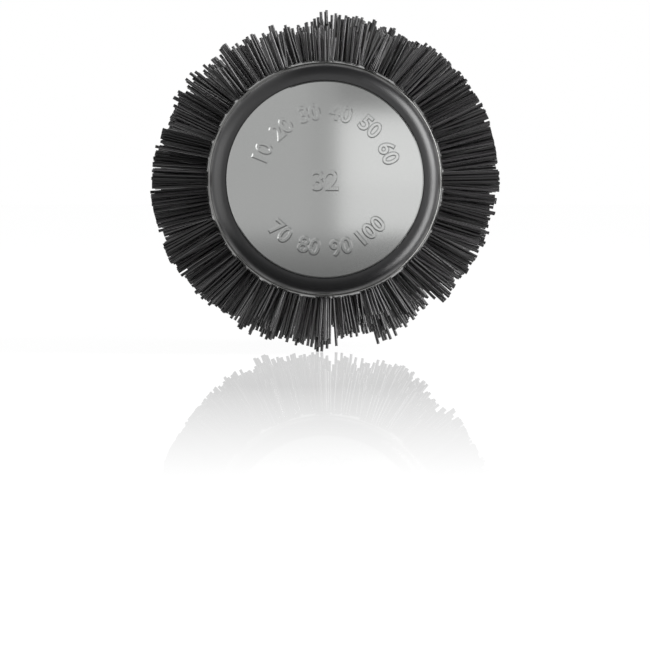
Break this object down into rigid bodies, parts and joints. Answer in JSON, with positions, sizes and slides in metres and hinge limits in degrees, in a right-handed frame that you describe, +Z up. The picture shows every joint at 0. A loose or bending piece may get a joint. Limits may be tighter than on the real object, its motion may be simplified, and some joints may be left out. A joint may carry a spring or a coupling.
{
  "type": "round barrel brush",
  "caption": "Round thermal styling brush: coated metal barrel with staggered nylon bristle tufts, capped front, slim handle with a retractable sectioning pick.",
  "frame": {"origin": "centre of the end disc's front face, on the brush's long axis", "axes": "+Y along the brush's axis from the end disc to the handle's tail, -Y out of the end disc, +Z up, +X to the right when looking at the disc along +Y"},
  "size_m": [0.0463, 0.2486, 0.0462],
  "materials": {
    "silver_disc": "silver metallic lacquer, gloss",
    "charcoal_plastic": "satin moulded",
    "screw_steel": "zinc plated",
    "barrel_coat": "grey ceramic coating, semi-gloss",
    "bristle_nylon": "drawn nylon filament, satin",
    "core_plastic": "heat-resistant nylon, matt",
    "collar_metal": "anodised, satin",
    "handle_plastic": "semi-gloss moulded",
    "grip_rubber": "soft-touch, matt",
    "ring_rubber": "plain black rubber",
    "pick_steel": "nickel plated, polished",
    "slider_plastic": "natural acetal"
  },
  "bodies": {
    "brush": {"end_disc": "silver_disc", "end_cap": "charcoal_plastic", "cap_screw": "screw_steel", "cap_washer": "screw_steel", "barrel": "barrel_coat", "bristle_strip_01": "bristle_nylon", "bristle_strip_02": "bristle_nylon", "bristle_strip_03": "bristle_nylon", "bristle_strip_04": "bristle_nylon", "bristle_strip_05": "bristle_nylon", "bristle_strip_06": "bristle_nylon", "bristle_strip_07": "bristle_nylon", "bristle_strip_08": "bristle_nylon", "bristle_strip_09": "bristle_nylon", "bristle_strip_10": "bristle_nylon", "bristle_strip_11": "bristle_nylon", "bristle_strip_12": "bristle_nylon", "bristle_strip_13": "bristle_nylon", "bristle_strip_14": "bristle_nylon", "bristle_strip_15": "bristle_nylon", "bristle_strip_16": "bristle_nylon", "core_tube": "core_plastic", "rear_plug": "charcoal_plastic", "collar_ring": "collar_metal", "spine_rod": "screw_steel", "handle_core": "handle_plastic", "grip_sleeve": "grip_rubber", "tail_ring": "collar_metal", "tail_bush": "charcoal_plastic", "pick_o_ring": "ring_rubber"},
    "pick": {"pick_pin": "pick_steel", "pick_slider": "slider_plastic"}
  },
  "joints": [
    {"name": "pick_slide", "type": "slide", "parent": "brush", "child": "pick", "axis": [0, 1, 0], "range_m": [0, 0.045]}
  ]
}
